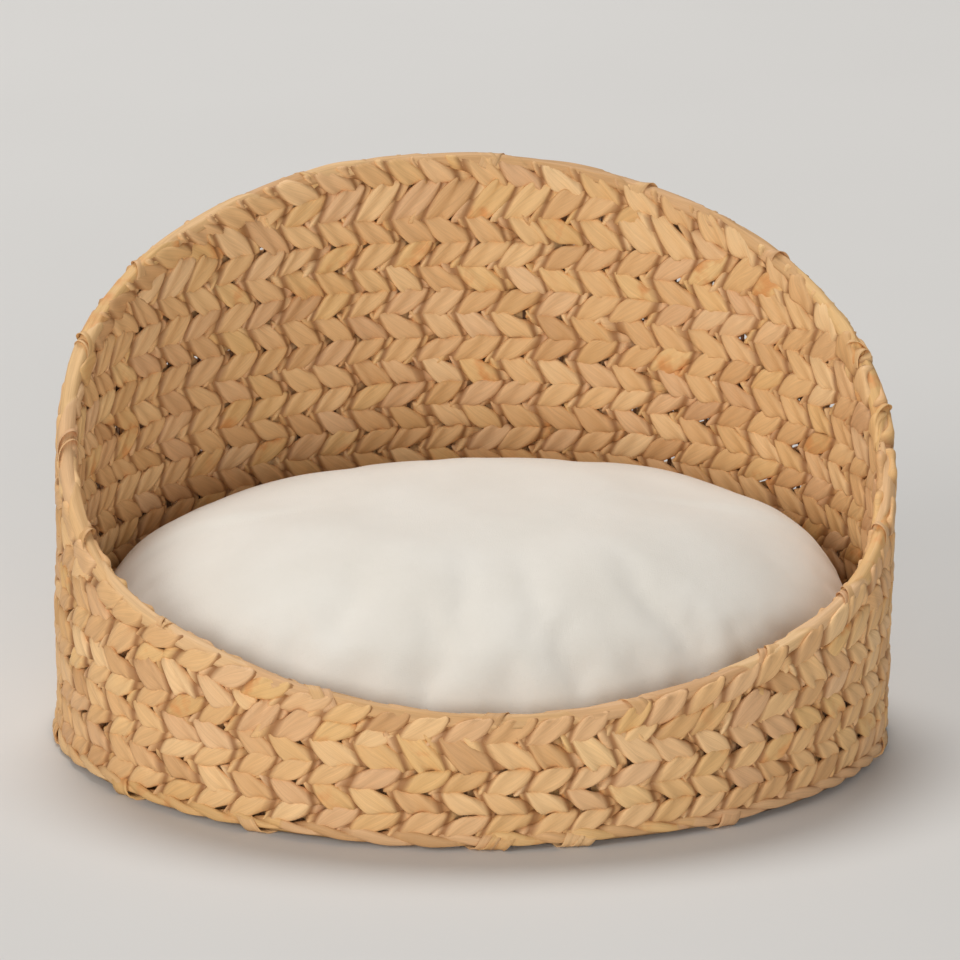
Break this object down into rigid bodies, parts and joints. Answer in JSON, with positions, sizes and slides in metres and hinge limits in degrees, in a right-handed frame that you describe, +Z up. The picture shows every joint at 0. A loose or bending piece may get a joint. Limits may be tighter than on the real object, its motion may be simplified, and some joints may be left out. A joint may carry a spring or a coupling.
{
  "type": "wicker pet bed basket",
  "caption": "Oval twined wicker pet bed with a wall low at the front and high at the back, a wrapped rim and foot, and a loose padded cushion.",
  "frame": {"origin": "middle of the basket's footprint, on the surface it stands on", "axes": "+Z up, -Y towards the low front, +X to the right seen from the front"},
  "size_m": [0.52, 0.411, 0.318],
  "materials": {
    "hyacinth_weave": "matte",
    "hyacinth_wrap": "satin",
    "steel_wire": "satin",
    "cotton_cover": "matte",
    "polyester_fibre": "matte"
  },
  "bodies": {
    "basket": {"wall_course_01": "hyacinth_weave", "wall_course_02": "hyacinth_weave", "wall_course_03": "hyacinth_weave", "wall_course_04": "hyacinth_weave", "wall_course_05": "hyacinth_weave", "wall_course_06": "hyacinth_weave", "wall_course_07": "hyacinth_weave", "wall_course_08": "hyacinth_weave", "wall_course_09": "hyacinth_weave", "wall_course_10": "hyacinth_weave", "stake_front_back_01": "steel_wire", "stake_front_back_02": "steel_wire", "stake_front_back_03": "steel_wire", "stake_front_back_04": "steel_wire", "stake_front_back_05": "steel_wire", "stake_front_back_06": "steel_wire", "stake_front_back_07": "steel_wire", "stake_front_back_08": "steel_wire", "stake_front_back_09": "steel_wire", "stake_front_back_10": "steel_wire", "stake_front_back_11": "steel_wire", "stake_front_back_12": "steel_wire", "stake_front_back_13": "steel_wire", "stake_front_back_14": "steel_wire", "stake_front_back_15": "steel_wire", "stake_front_back_16": "steel_wire", "stake_front_back_17": "steel_wire", "stake_left_right_01": "steel_wire", "stake_left_right_02": "steel_wire", "stake_left_right_03": "steel_wire", "stake_left_right_04": "steel_wire", "stake_left_right_05": "steel_wire", "stake_left_right_06": "steel_wire", "stake_left_right_07": "steel_wire", "stake_left_right_08": "steel_wire", "stake_left_right_09": "steel_wire", "stake_left_right_10": "steel_wire", "stake_left_right_11": "steel_wire", "stake_left_right_12": "steel_wire", "rim_wire": "steel_wire", "foot_wire": "steel_wire", "rim_wrap": "hyacinth_wrap", "foot_wrap": "hyacinth_wrap", "base_mat_under": "hyacinth_weave", "base_mat_top": "hyacinth_weave"},
    "cushion": {"cushion_top_panel": "cotton_cover", "cushion_bottom_panel": "cotton_cover", "cushion_filling": "polyester_fibre"}
  },
  "joints": [
    {"name": "cushion_lift", "type": "slide", "parent": "basket", "child": "cushion", "axis": [0, 0, 1], "range_m": [0, 0.34]}
  ]
}
